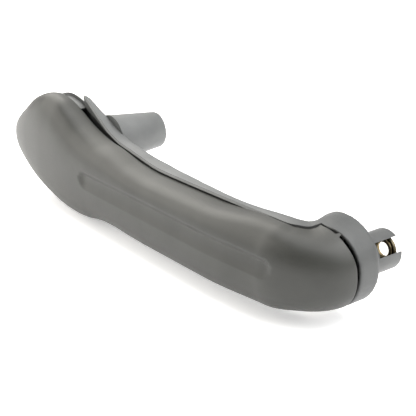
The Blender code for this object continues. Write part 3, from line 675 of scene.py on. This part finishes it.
class CarrierSection(Section):
    """Section with the rise, the lip and the walls of the carrier."""

    def __init__(self, kind, at):
        super().__init__(kind, at)
        self.rise = 0.0
        self.fall = 0.0
        self.start = -0.5 * FIT_GAP
        self.flange = 0.0
        self.seam = 0.0
        self.reach = LIP_REACH
        self.slant = 1.0
        if kind == "x":
            d = at - FOOT_TIP_X
            self.rise = curve_through(RISE_LINE, d)
            self.start = curve_through(STEP_BACK_LINE, d)
            self.fall = curve_through(FALL_LINE, d)
            self.fall -= STRIP_LIFT * smooth_step(*LIFT_IN, at)
            starts = (FLANGE_START - FLANGE_RAMP, FLANGE_START + FLANGE_RAMP)
            self.flange = in_and_out(starts, (FLANGE_END, FLANGE_END + FLANGE_FADE), d)
            ahead = Section("x", at + SLOPE_STEP)
            slope = (ahead.half() - self.half()) / SLOPE_STEP
            self.slant = math.sqrt(1.0 + slope * slope)
            grow = smooth_step(CARRIER_START_X, CARRIER_START_X + END_LIP_RUN, at)
            self.reach = blend(END_LIP, LIP_REACH, grow)
            self.seam = in_and_out(SEAM_OPEN, SEAM_SHUT, d)
        self.inset = (COVER_WALL + FIT_GAP) * self.slant
        if kind == "angle":
            self.inset += GROOVE_INSET * smooth_step(*GROOVE_OPENS, at)
            lift = STRIP_LIFT * (1.0 - smooth_step(*LIFT_OUT, at))
            self.rise = self.step - self.dip
            self.fall = self.rise - lift
        share = (self.reach + FIT_GAP) / self.front
        height = (1.0 - share ** self.square) ** (1.0 / self.square)
        steep = self.half() / self.front * (share / height) ** (self.square - 1.0)
        self.drop = self.half() * (1.0 - height)
        self.drop += self.inset * (math.sqrt(1.0 + steep * steep) - 1.0)

    def back_heights(self):
        """Heights down the back; equal counts above and below the middle."""
        half = BACK_ROWS // 2

        def point_at(height):
            return self.back_point(height, self.start)

        return even_heights(point_at, half, 1.0, 0.0) + even_heights(point_at, half, 0.0, -1.0)[1:]

    def back_rows(self):
        """Points down the back, in the plane of each row's own station."""
        rows = []
        for k, height in enumerate(self.back_heights()):
            spot = lip_corner(self, k)
            start = self.start if height >= 0.0 else -0.5 * FIT_GAP
            n, z = spot.back_point(height, start, spot.rise, spot.fall)
            rows.append((spot, n, z))
        return rows

    def outline(self):
        """Closed outline of the carrier before it is hollowed."""
        rows = self.back_rows()
        points = []
        top_n = rows[0][1]
        low_n = rows[-1][1]
        top_z = rows[0][2]
        low = self.bottom + self.inset
        top = self.top - self.inset - SEAM_DEPTH * self.seam
        reach_top = blend(self.reach, top_n + FLANGE_FOOT, self.flange)
        under_n = top_n - SEAM_UNDER * self.seam
        edge = max(self.seam, self.flange)
        under_z = blend(blend(top, top_z, 0.5), top_z - SEAM_EDGE, edge)
        points.append((low_n, low))
        points.append((self.reach, low + self.drop))
        for k in range(FRONT_ROWS):
            t = (k + 1) / (FRONT_ROWS + 1)
            z = low + self.drop + (top - low - 2.0 * self.drop) * t
            points.append((blend(self.reach, reach_top, t), z))
        points.append((reach_top, top - self.drop))
        points.append((under_n, top))
        points.append((under_n, under_z))
        points.append((top_n + SEAM_FRONT * edge, under_z + HAIR))
        loop = [spot.place(n, z) for spot, n, z in rows]
        return loop + [self.place(n, z) for n, z in points]

    def hollow(self):
        """Closed outline of the space inside the carrier."""
        front = LIP_REACH + HOLLOW_PAST_LIP
        low = self.bottom + self.inset + self.drop + LIP_WALL
        covered = self.inset + self.drop + LIP_WALL + SEAM_DEPTH * self.seam
        open_wall = FLANGE_WALL * self.slant + self.fall - self.rise
        top = self.top - covered + (covered - open_wall) * self.flange
        middle = 0.5 * (top + low)
        half = 0.5 * (top - low)
        deep = self.back - CARRIER_WALL

        def side(s):
            c = max(1.0 - abs(s) ** HOLLOW_SQUARE, 0.0) ** (1.0 / HOLLOW_SQUARE)
            return -deep * c, middle + half * s

        points = [side(height) for height in even_heights(side, BACK_ROWS, 1.0, -1.0)]
        points.append((front, low))
        points.append((front, top))
        return [self.place(n, z) for n, z in points]


def lip_corner(station, row):
    """Station of one row of the carrier, drawn forward at the lip's top corner."""
    if station.kind != "angle" or station.at <= END_FOLLOW or row > LIP_ROWS:
        return station
    end = blend(90.0, LIP_LINE[-1][1], 1.0 - smooth_step(0.0, LIP_ROWS, row))
    share = (station.at - END_FOLLOW) / (90.0 - END_FOLLOW)
    return CarrierSection("angle", blend(END_FOLLOW, end, share))


def collar_loop(station, shrink=0.0):
    """Full outline of the collar with as many points as the carrier outline."""
    flat = CarrierSection("angle", 90.0)
    points = [station.back_point(height, flat.start) for height in flat.back_heights()]
    heights = even_heights(station.front_point, COLLAR_FRONT)[1:-1]
    points += [station.front_point(height) for height in heights]
    middle = station.middle()
    centre = 0.5 * (station.front - station.back)
    loop = []
    for n, z in points:
        size = math.hypot(n - centre, z - middle)
        share = (size - shrink) / size
        loop.append(station.place(blend(centre, n, share), blend(middle, z, share)))
    return loop


def lip_loop(shrink, further, back, deeper):
    """Outline of the collar's lip, which follows the end of the cover.

    The front is drawn in, moved further along the route and deeper to the door,
    and the back is only moved along the route.
    """
    flat = CarrierSection("angle", 90.0)
    loop = []
    for station, n, z in flat.back_rows():
        loop.append(station.place(n, z) + ahead_at(station.at) * (back * MM))
    for height in even_heights(flat.front_point, COLLAR_FRONT)[1:-1]:
        station = Section("angle", curve_through(LIP_LINE, height))
        n, z = station.front_point(height)
        middle = station.middle()
        size = math.hypot(n, z - middle)
        share = (size - shrink) / size
        point = station.place(n * share, blend(middle, z, share))
        point += ahead_at(station.at) * (further * MM)
        point.y += deeper * MM
        loop.append(point)
    return loop


def loft(name, loops):
    """Closed body through outlines with equal numbers of points."""
    verts = []
    faces = []
    count = len(loops[0])
    for loop in loops:
        verts.extend(loop)
    for i in range(len(loops) - 1):
        for j in range(count):
            a = i * count + j
            b = i * count + (j + 1) % count
            faces.append((a, b, b + count, a + count))
    faces.append(tuple(range(count)))
    last = (len(loops) - 1) * count
    faces.append(tuple(range(last, last + count)))
    return new_mesh(name, verts, faces)


def turned(name, profile, x, z):
    """Closed body turned about +Y at x and z, from pairs of radius and y."""
    closed = profile[0] == profile[-1]
    pairs = profile[:-1] if closed else profile
    verts = []
    rings = []
    for radius, y in pairs:
        if radius == 0.0:
            rings.append([len(verts)])
            verts.append((x * MM, y * MM, (z - SLEEVE_Z) * MM))
            continue
        ring = []
        for k in range(TURN_SEGMENTS):
            angle = 2.0 * math.pi * k / TURN_SEGMENTS
            ring.append(len(verts))
            across = x + radius * math.cos(angle)
            up = z - SLEEVE_Z + radius * math.sin(angle)
            verts.append((across * MM, y * MM, up * MM))
        rings.append(ring)
    faces = []
    pairs_of_rings = list(zip(rings, rings[1:]))
    if closed:
        pairs_of_rings.append((rings[-1], rings[0]))
    for near, far in pairs_of_rings:
        for k in range(TURN_SEGMENTS):
            m = (k + 1) % TURN_SEGMENTS
            if len(near) == 1:
                faces.append((near[0], far[m], far[k]))
            elif len(far) == 1:
                faces.append((near[k], near[m], far[0]))
            else:
                faces.append((near[k], near[m], far[m], far[k]))
    return new_mesh(name, verts, faces)


def outer_edge(radius, end, edge):
    """Points of a profile round the outer edge of its end."""
    mid = ROUND_MIDDLE * edge
    return [(radius - edge, end), (radius - mid, end - mid), (radius, end - edge)]


def build_post():
    """The tapered screw post behind the foot, with its blind bore."""
    start = SEAM_Y + FOOT_BACK - POST_ROOT
    end = POST_END_Y
    bore = POST_BORE_RADIUS
    profile = [(0.0, end - POST_BORE_DEPTH), (bore, end - POST_BORE_DEPTH)]
    profile += [(bore, end - POST_MOUTH), (bore + POST_MOUTH, end)]
    profile += outer_edge(POST_END_RADIUS, end, POST_EDGE)
    profile += [(POST_BASE_RADIUS, start), (0.0, start)]
    return turned("tool_post", profile, POST_X, POST_Z)


def build_sleeve():
    """The open sleeve that stands on the back face of the collar."""
    end = SLEEVE_LENGTH
    bore = SLEEVE_BORE_RADIUS
    flare = SLEEVE_RADIUS + SLEEVE_FLARE
    profile = [(0.0, SLEEVE_FLOOR), (bore, SLEEVE_FLOOR)]
    profile += [(bore, end - SLEEVE_MOUTH), (bore + SLEEVE_MOUTH, end)]
    profile += outer_edge(SLEEVE_RADIUS, end, SLEEVE_EDGE)
    profile += [(SLEEVE_RADIUS, SLEEVE_FLARE_RUN), (flare, -SLEEVE_SINK)]
    profile += [(flare, -0.5 * COLLAR_END_WALL), (0.0, -0.5 * COLLAR_END_WALL)]
    sleeve = turned("tool_sleeve", profile, 0.0, SLEEVE_Z)
    run_boolean(sleeve, build_slot(), "DIFFERENCE")
    return sleeve


def build_slot():
    """Bar that cuts the two slots of the sleeve in one go."""
    tilt = Matrix.Rotation(-math.radians(SLOT_TILT), 4, "Y")
    verts = []
    for x in (-2.0 * SLEEVE_RADIUS, 2.0 * SLEEVE_RADIUS):
        for y in (SLOT_ROOT, SLEEVE_LENGTH + CUT_PAST):
            for z in (-0.5 * SLOT_WIDTH, 0.5 * SLOT_WIDTH):
                verts.append(tilt @ Vector((x * MM, y * MM, z * MM)))
    faces = [(0, 1, 3, 2), (4, 6, 7, 5), (0, 4, 5, 1), (2, 3, 7, 6), (0, 2, 6, 4), (1, 5, 7, 3)]
    return new_mesh("tool_slot", verts, faces)


def build_screw_bore():
    """Cutter of the screw bore through the back wall of the collar."""
    near = SLEEVE_FLOOR + CUT_PAST
    far = -COLLAR_END_WALL - CUT_PAST
    profile = [(0.0, near), (SCREW_BORE_RADIUS, near), (SCREW_BORE_RADIUS, far), (0.0, far)]
    return turned("tool_screw_bore", profile, 0.0, SLEEVE_Z)


def build_pocket():
    """Cutter of the space inside the collar, open to the front."""
    verts = []
    ring = TURN_SEGMENTS
    for y in (-COLLAR_END_WALL, -POCKET_DEPTH):
        for k in range(ring):
            angle = 2.0 * math.pi * k / ring
            x = POCKET_X + POCKET_HALF_X * math.cos(angle)
            z = 0.5 * (COLLAR_TOP + COLLAR_BOTTOM) + POCKET_HALF_Z * math.sin(angle)
            verts.append((x * MM, y * MM, (z - SLEEVE_Z) * MM))
    faces = [tuple(range(ring)), tuple(range(ring, 2 * ring))]
    for k in range(ring):
        m = (k + 1) % ring
        faces.append((k, m, m + ring, k + ring))
    return new_mesh("tool_pocket", verts, faces)


def carrier_places():
    """Places of the carrier's stations along the grip, closer at the flange's start."""
    places = [CARRIER_START_X + x for x in WALL_STATIONS]
    low = CARRIER_START_X + EVEN_FROM_WALL
    steps = int((BEND_START_X - low) / CARRIER_STEP)
    for k in range(steps + 1):
        places.append(low + (BEND_START_X - low) * k / steps)
    for d in FLANGE_STATIONS:
        places.append(FOOT_TIP_X + FLANGE_START + d)
    places += [FOOT_TIP_X + FLANGE_LINE[0][0], FOOT_TIP_X + FLANGE_LINE[1][0]]
    return sorted(places)


def build_carrier():
    """The carrier: a loft from the foot to the collar, hollowed from the front."""
    places = carrier_places()
    stations = [CarrierSection("x", x) for x in places]
    steps = int(90.0 / CARRIER_ANGLE_STEP)
    stations += [CarrierSection("angle", 90.0 * k / steps) for k in range(1, steps + 1)]
    loops = [station.outline() for station in stations]
    low = SEAM_Y + BEND_RADIUS
    floor = CarrierSection("y", low + GROOVE_DEPTH).outline()
    back = lip_loop(0.0, 0.0, LIP_CREEP, 0.0)
    loops.append(back[:BACK_ROWS + 1] + floor[BACK_ROWS + 1:])
    loops += [lip_loop(*sizes) for sizes in LIP_LOOPS]
    for k in range(1, COLLAR_STEPS):
        y = blend(low + COLLAR_LIP_EDGE, -COLLAR_EDGE, k / COLLAR_STEPS)
        loops.append(collar_loop(Section("y", y)))
    mid = ROUND_MIDDLE * COLLAR_EDGE
    loops.append(collar_loop(Section("y", -COLLAR_EDGE)))
    loops.append(collar_loop(Section("y", -mid), mid))
    loops.append(collar_loop(Section("y", 0.0), COLLAR_EDGE))
    carrier = loft("carrier_moulding", loops)
    inside = [CarrierSection("x", CARRIER_START_X + CARRIER_WALL)]
    for x in places[len(WALL_STATIONS):-1:2]:
        inside.append(CarrierSection("x", x + HOLLOW_SHIFT))
    for angle in range(HOLLOW_ANGLE_STEP, 90, HOLLOW_ANGLE_STEP):
        inside.append(CarrierSection("angle", angle))
    run_boolean(carrier, loft("tool_hollow", [s.hollow() for s in inside]), "DIFFERENCE")
    run_boolean(carrier, build_pocket(), "DIFFERENCE")
    run_boolean(carrier, build_post(), "UNION")
    run_boolean(carrier, build_sleeve(), "UNION")
    run_boolean(carrier, build_screw_bore(), "DIFFERENCE")
    return carrier


def build_insert():
    """The flat threaded insert near the end of the sleeve, with a raised ring."""
    outer = SLEEVE_BORE_RADIUS - INSERT_GAP
    bore = INSERT_BORE_RADIUS
    end = SLEEVE_LENGTH - INSERT_INSET
    start = end - INSERT_LENGTH
    far = INSERT_RING_RADIUS + 0.5 * INSERT_RING_WIDTH
    near = INSERT_RING_RADIUS - 0.5 * INSERT_RING_WIDTH
    profile = [(bore + INSERT_EDGE, end), (outer - INSERT_EDGE, end)]
    profile += [(outer, end - INSERT_EDGE), (outer, start + INSERT_EDGE)]
    profile += [(outer - INSERT_EDGE, start), (far, start)]
    profile += [(far - INSERT_RING_SLOPE, start - INSERT_RING_HEIGHT)]
    profile += [(near + INSERT_RING_SLOPE, start - INSERT_RING_HEIGHT), (near, start)]
    profile += [(bore + INSERT_EDGE, start), (bore, start + INSERT_EDGE)]
    profile += [(bore, end - INSERT_EDGE), (bore + INSERT_EDGE, end)]
    return turned("insert_ring", profile, 0.0, SLEEVE_Z)


# looks of the plastics: two colours of the mottle, roughness, height and size of the
# grain in millimetres, and the painted light: how much lighter the foot's end is painted
COVER_LOOK = ((0.033, 0.0335, 0.0297), (0.041, 0.0415, 0.037), 0.44, 0.012, 0.28, 1.0)
# the carrier's foot end is painted lighter, as painted light for the brighter light on the post
# and flange
CARRIER_LOOK = ((0.062, 0.064, 0.063), (0.080, 0.082, 0.081), 0.48, 0.03, 0.45, 1.75)
PLASTIC_SPECULAR = 0.4
PLASTIC_GLOSS = 0.05         # the roughness varies by this much either way
MOTTLE_SCALE = 60.0
MOTTLE_DETAIL = 4.0
FINE_DETAIL = 3.0
PAINTED_LIGHT_RANGE = (-0.05, 0.0)    # the painted light changes between these x, in metres
NOISE_RANGE = (0.3, 0.7)     # where most values of a noise lie

# look of the insert: colours where it is tarnished and clean, how bright it is painted at
# a radius in millimetres (painted shade in the dark rings, painted highlights at the bore's edge
# and on the raised ring), and what tints it at the rim
BRASS_TARNISHED = (0.40, 0.29, 0.14)
BRASS_CLEAN = (0.66, 0.53, 0.30)
BRASS_RIM = (0.35, 0.42, 0.6)
BRASS_PAINTED_LIGHT_BANDS = [
    (3.9, 0.35), (4.3, 0.04), (5.5, 0.03), (5.75, 0.45), (6.05, 0.45), (6.3, 0.03),
    (6.8, 0.05), (7.0, 0.3),
]
TARNISH_SCALE = 400.0
TARNISH_RANGE = (0.3, 0.75)
RING_SCALE = 700.0
RING_DISTORTION = 0.6
BRASS_GLOSS = (0.28, 0.42)
BRASS_BUMP = 0.5
BRASS_GRAIN = 0.02


def new_look(name):
    """New material with its nodes, its shader and the object's own coordinates."""
    material = bpy.data.materials.new(name)
    material.use_nodes = True
    tree = material.node_tree
    place = tree.nodes.new("ShaderNodeTexCoord").outputs["Object"]
    return material, tree, tree.nodes["Principled BSDF"], place


def noise(tree, place, scale, detail):
    node = tree.nodes.new("ShaderNodeTexNoise")
    node.inputs["Scale"].default_value = scale
    node.inputs["Detail"].default_value = detail
    tree.links.new(place, node.inputs["Vector"])
    return node.outputs["Fac"]


def ramp(tree, value, span, dark, light):
    """Ramp over the span of a value, from one colour to the other."""
    node = tree.nodes.new("ShaderNodeValToRGB")
    for stop, position, colour in zip(node.color_ramp.elements, span, (dark, light)):
        stop.position = position
        stop.color = (*colour, 1.0)
    tree.links.new(value, node.inputs["Fac"])
    return node


def map_range(tree, value, source, target):
    """Takes a value from the source range to the target range."""
    node = tree.nodes.new("ShaderNodeMapRange")
    node.inputs["From Min"].default_value = source[0]
    node.inputs["From Max"].default_value = source[1]
    node.inputs["To Min"].default_value = target[0]
    node.inputs["To Max"].default_value = target[1]
    tree.links.new(value, node.inputs["Value"])
    return node.outputs["Result"]


def vector_math(tree, operation, first):
    node = tree.nodes.new("ShaderNodeVectorMath")
    node.operation = operation
    tree.links.new(first, node.inputs[0])
    return node


def bump(tree, value, shader, strength, distance):
    node = tree.nodes.new("ShaderNodeBump")
    node.inputs["Strength"].default_value = strength
    node.inputs["Distance"].default_value = distance * MM
    tree.links.new(value, node.inputs["Height"])
    tree.links.new(node.outputs["Normal"], shader.inputs["Normal"])


def plastic(name, dark, light, roughness, grain, grain_size, painted_light_gain):
    """Moulded plastic: a faint mottle of colour, and a fine grain in gloss and bump.

    The colour is painted lighter by the last factor towards the foot: painted light, not the
    plastic's own colour.
    """
    material, tree, shader, place = new_look(name)
    links = tree.links
    shader.inputs["Specular IOR Level"].default_value = PLASTIC_SPECULAR
    colours = ramp(tree, noise(tree, place, MOTTLE_SCALE, MOTTLE_DETAIL), NOISE_RANGE, dark, light)
    along = tree.nodes.new("ShaderNodeSeparateXYZ")
    links.new(place, along.inputs["Vector"])
    # painted light: the colour is scaled up towards the foot end for its brighter light
    painted_light_factor = map_range(tree, along.outputs["X"], PAINTED_LIGHT_RANGE, (painted_light_gain, 1.0))
    painted_light_colours = vector_math(tree, "SCALE", colours.outputs["Color"])
    links.new(painted_light_factor, painted_light_colours.inputs["Scale"])
    links.new(painted_light_colours.outputs["Vector"], shader.inputs["Base Color"])
    fine = noise(tree, place, 1.0 / (grain_size * MM), FINE_DETAIL)
    range_of_gloss = (roughness - PLASTIC_GLOSS, roughness + PLASTIC_GLOSS)
    gloss = map_range(tree, fine, NOISE_RANGE, range_of_gloss)
    links.new(gloss, shader.inputs["Roughness"])
    bump(tree, fine, shader, 1.0, grain)
    return material


def brass(name):
    """Turned brass with painted light by radius: painted highlights at the bore and on the raised
    ring, and painted shade in the rings around them.
    """
    material, tree, shader, place = new_look(name)
    links = tree.links
    shader.inputs["Metallic"].default_value = 1.0
    tarnish = noise(tree, place, TARNISH_SCALE, FINE_DETAIL)
    colours = ramp(tree, tarnish, TARNISH_RANGE, BRASS_TARNISHED, BRASS_CLEAN)
    flat = vector_math(tree, "MULTIPLY", place)
    flat.inputs[1].default_value = (1.0, 0.0, 1.0)
    radius = vector_math(tree, "LENGTH", flat.outputs["Vector"])
    share = tree.nodes.new("ShaderNodeMath")
    share.operation = "DIVIDE"
    share.inputs[1].default_value = SLEEVE_BORE_RADIUS * MM
    links.new(radius.outputs["Value"], share.inputs[0])
    # painted shade and painted highlights in rings about the axis, by radius
    painted_light_bands = ramp(tree, share.outputs["Value"], (0.0, 1.0), (1.0, 1.0, 1.0), BRASS_RIM)
    for reach, level in BRASS_PAINTED_LIGHT_BANDS:
        stop = painted_light_bands.color_ramp.elements.new(reach / SLEEVE_BORE_RADIUS)
        stop.color = (level, level, level, 1.0)
    painted_light_tone = vector_math(tree, "MULTIPLY", colours.outputs["Color"])
    links.new(painted_light_bands.outputs["Color"], painted_light_tone.inputs[1])
    links.new(painted_light_tone.outputs["Vector"], shader.inputs["Base Color"])
    marks = tree.nodes.new("ShaderNodeTexWave")
    marks.wave_type = "RINGS"
    marks.rings_direction = "Y"
    marks.inputs["Scale"].default_value = RING_SCALE
    marks.inputs["Distortion"].default_value = RING_DISTORTION
    links.new(place, marks.inputs["Vector"])
    gloss = map_range(tree, marks.outputs["Fac"], (0.0, 1.0), BRASS_GLOSS)
    links.new(gloss, shader.inputs["Roughness"])
    bump(tree, marks.outputs["Fac"], shader, BRASS_BUMP, BRASS_GRAIN)
    return material


# the camera of the photograph
CAMERA_PLACE = (0.27371, -0.2975, 0.17883)
CAMERA_TILT = (69.0, 0.0, 52.0)
CAMERA_LENS = 82.2
CAMERA_SENSOR = 36.0
CAMERA_CLIP = (0.01, 50.0)

# the floor, the surroundings and the lights around the object
FLOOR_Z = -0.0262
FLOOR_SIZE = 12.0
FLOOR_TONE = 0.96
FLOOR_GLOW = 0.41
WORLD_STRENGTH = 0.68
WORLD_DARK = Vector((0.78, -0.62, 0.0))    # they darken in this direction
WORLD_RANGE = (-0.9, 0.8)
WORLD_LEAST = 0.1
AIM = Vector((-0.12, -0.03, 0.0))
WHITE = (1.0, 1.0, 1.0)
WARM = (1.0, 0.97, 0.91)
# name, place, size, power and colour
LIGHTS = [
    ("key", (-0.75, -0.62, 0.48), 0.9, 9.0, WARM),
    ("back", (-0.85, 0.15, 0.65), 0.7, 6.0, WARM),
    ("top", (0.0, 0.3, 1.4), 1.6, 20.0, WHITE),
    ("right", (0.58, 0.3, 0.76), 1.0, 13.0, WHITE),
]


def add_camera():
    data = bpy.data.cameras.new("camera")
    data.lens = CAMERA_LENS
    data.sensor_width = CAMERA_SENSOR
    data.sensor_fit = "HORIZONTAL"
    data.clip_start, data.clip_end = CAMERA_CLIP
    camera = bpy.data.objects.new("camera", data)
    camera.location = CAMERA_PLACE
    camera.rotation_euler = [math.radians(a) for a in CAMERA_TILT]
    bpy.context.scene.collection.objects.link(camera)
    bpy.context.scene.camera = camera


def add_light(name, place, size, power, colour):
    """Square light that is turned to the object."""
    data = bpy.data.lights.new(name, "AREA")
    data.shape = "SQUARE"
    data.size = size
    data.energy = power
    data.color = colour
    light = bpy.data.objects.new(name, data)
    light.location = place
    light.rotation_euler = (Vector(place) - AIM).to_track_quat("Z", "Y").to_euler()
    bpy.context.scene.collection.objects.link(light)


def add_surroundings():
    """White surroundings that darken towards the camera."""
    world = bpy.data.worlds.new("surroundings")
    bpy.context.scene.world = world
    world.use_nodes = True
    tree = world.node_tree
    background = tree.nodes["Background"]
    background.inputs["Color"].default_value = (*WHITE, 1.0)
    place = tree.nodes.new("ShaderNodeTexCoord")
    toward = vector_math(tree, "DOT_PRODUCT", place.outputs["Generated"])
    toward.inputs[1].default_value = WORLD_DARK
    strengths = (WORLD_STRENGTH, WORLD_LEAST * WORLD_STRENGTH)
    level = map_range(tree, toward.outputs["Value"], WORLD_RANGE, strengths)
    tree.links.new(level, background.inputs["Strength"])


def add_floor():
    """Pale floor that glows a little by itself."""
    bpy.ops.mesh.primitive_plane_add(size=FLOOR_SIZE, location=(0.0, 0.0, FLOOR_Z))
    floor = bpy.context.active_object
    floor.name = "floor"
    material = bpy.data.materials.new("floor_paper")
    material.use_nodes = True
    shader = material.node_tree.nodes["Principled BSDF"]
    shader.inputs["Base Color"].default_value = (FLOOR_TONE, FLOOR_TONE, FLOOR_TONE, 1.0)
    shader.inputs["Emission Color"].default_value = (*WHITE, 1.0)
    shader.inputs["Emission Strength"].default_value = FLOOR_GLOW
    shader.inputs["Roughness"].default_value = 1.0
    floor.data.materials.append(material)
    floor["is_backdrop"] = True


def add_studio():
    """Surroundings, floor and soft lights."""
    add_surroundings()
    add_floor()
    for light in LIGHTS:
        add_light(*light)
    scene = bpy.context.scene
    scene.view_settings.view_transform = "Standard"
    scene.view_settings.look = "None"


def finish_piece(piece, node, material):
    shade(piece)
    hold_in(piece, node)
    piece.data.materials.clear()
    piece.data.materials.append(material)
    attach(piece, "root")
    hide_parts(node)


def main():
    cover_look = plastic("cover_plastic_look", *COVER_LOOK)
    carrier_look = plastic("carrier_plastic_painted_light_look", *CARRIER_LOOK)
    finish_piece(build_cover(), "front_cover", cover_look)
    finish_piece(build_carrier(), "carrier", carrier_look)
    finish_piece(build_insert(), "threaded_insert", brass("insert_brass_painted_light_look"))
    add_camera()
    add_studio()


main()
boxes = {"cad": cad_box, "visual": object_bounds()}
{name: [list(corner) for corner in box] for name, box in boxes.items()}
